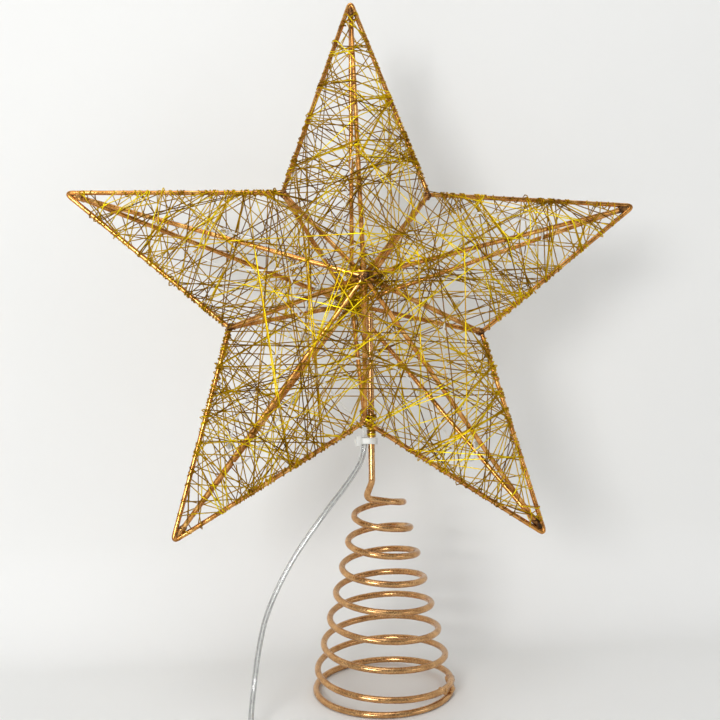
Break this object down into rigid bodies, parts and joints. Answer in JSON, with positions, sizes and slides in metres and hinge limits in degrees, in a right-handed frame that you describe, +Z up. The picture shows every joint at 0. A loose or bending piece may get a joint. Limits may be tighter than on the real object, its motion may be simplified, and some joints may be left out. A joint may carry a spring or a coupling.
{
  "type": "christmas tree topper star",
  "caption": "Five-pointed wire star wound with thin gold wire, on a cone-shaped coil spring that slips over the tree's top shoot, with a string of small lights and a battery box",
  "frame": {"origin": "centre of the spring's open mouth, on the floor", "axes": "+Z up along the spring's axis, the star's face looks along -Y, +X to the star's right in the picture"},
  "size_m": [0.222, 0.1276, 0.2745],
  "materials": {
    "frame_paint": "copper gold metallic paint",
    "gold_wire": "bright gold",
    "spring_paint": "bronze gold metallic paint, slightly rough",
    "tie_nylon": "milky nylon",
    "clear_lead": "clear",
    "led_wire": "clear",
    "led_clear": "clear",
    "box_plastic": "fine matt texture",
    "knob_plastic": "matt black",
    "cell_jacket": "gloss sleeve",
    "contact_steel": "plated"
  },
  "bodies": {
    "base": {"cone_spring": "spring_paint", "base_weld": "spring_paint", "lead_cord": "clear_lead", "lead_coil": "clear_lead", "coil_tie": "tie_nylon", "lead_tail": "clear_lead", "lead_grommet": "box_plastic", "box_case": "box_plastic", "switch_body": "knob_plastic", "cell_1": "cell_jacket", "cell_2": "cell_jacket", "contact_plates": "contact_steel", "cell_springs": "contact_steel"},
    "star": {"outline_wire_1": "frame_paint", "outline_wire_2": "frame_paint", "outline_wire_3": "frame_paint", "outline_wire_4": "frame_paint", "outline_wire_5": "frame_paint", "outline_wire_6": "frame_paint", "outline_wire_7": "frame_paint", "outline_wire_8": "frame_paint", "outline_wire_9": "frame_paint", "outline_wire_10": "frame_paint", "front_ridge_wire_1": "frame_paint", "front_ridge_wire_2": "frame_paint", "front_ridge_wire_3": "frame_paint", "front_ridge_wire_4": "frame_paint", "front_ridge_wire_5": "frame_paint", "back_ridge_wire_1": "frame_paint", "back_ridge_wire_2": "frame_paint", "back_ridge_wire_3": "frame_paint", "back_ridge_wire_4": "frame_paint", "back_ridge_wire_5": "frame_paint", "front_valley_wire_1": "frame_paint", "front_valley_wire_2": "frame_paint", "front_valley_wire_3": "frame_paint", "front_valley_wire_4": "frame_paint", "front_valley_wire_5": "frame_paint", "back_valley_wire_1": "frame_paint", "back_valley_wire_2": "frame_paint", "back_valley_wire_3": "frame_paint", "back_valley_wire_4": "frame_paint", "back_valley_wire_5": "frame_paint", "tip_welds": "frame_paint", "corner_welds": "frame_paint", "hub_welds": "frame_paint", "arm_winding_1": "gold_wire", "arm_winding_2": "gold_wire", "arm_winding_3": "gold_wire", "arm_winding_4": "gold_wire", "arm_winding_5": "gold_wire", "waist_winding": "gold_wire", "stem_lashing": "gold_wire", "cable_tie": "tie_nylon", "light_string": "led_wire", "light_drops": "led_clear"},
    "cover": {"box_cover": "box_plastic"},
    "switch": {"switch_knob": "knob_plastic"}
  },
  "joints": [
    {"name": "spring_compress", "type": "slide", "parent": "base", "child": "star", "axis": [0, 0, 1], "range_m": [-0.04, 0.01], "stiffness_N_per_m": 1000, "springref_m": 0.00065, "deforming": ["cone_spring", "lead_cord"]},
    {"name": "cover_slide", "type": "slide", "parent": "base", "child": "cover", "axis": [1, 0, 0], "range_m": [0, 0.048]},
    {"name": "switch_slide", "type": "slide", "parent": "base", "child": "switch", "axis": [0, -1, 0], "range_m": [0, 0.0034]}
  ]
}
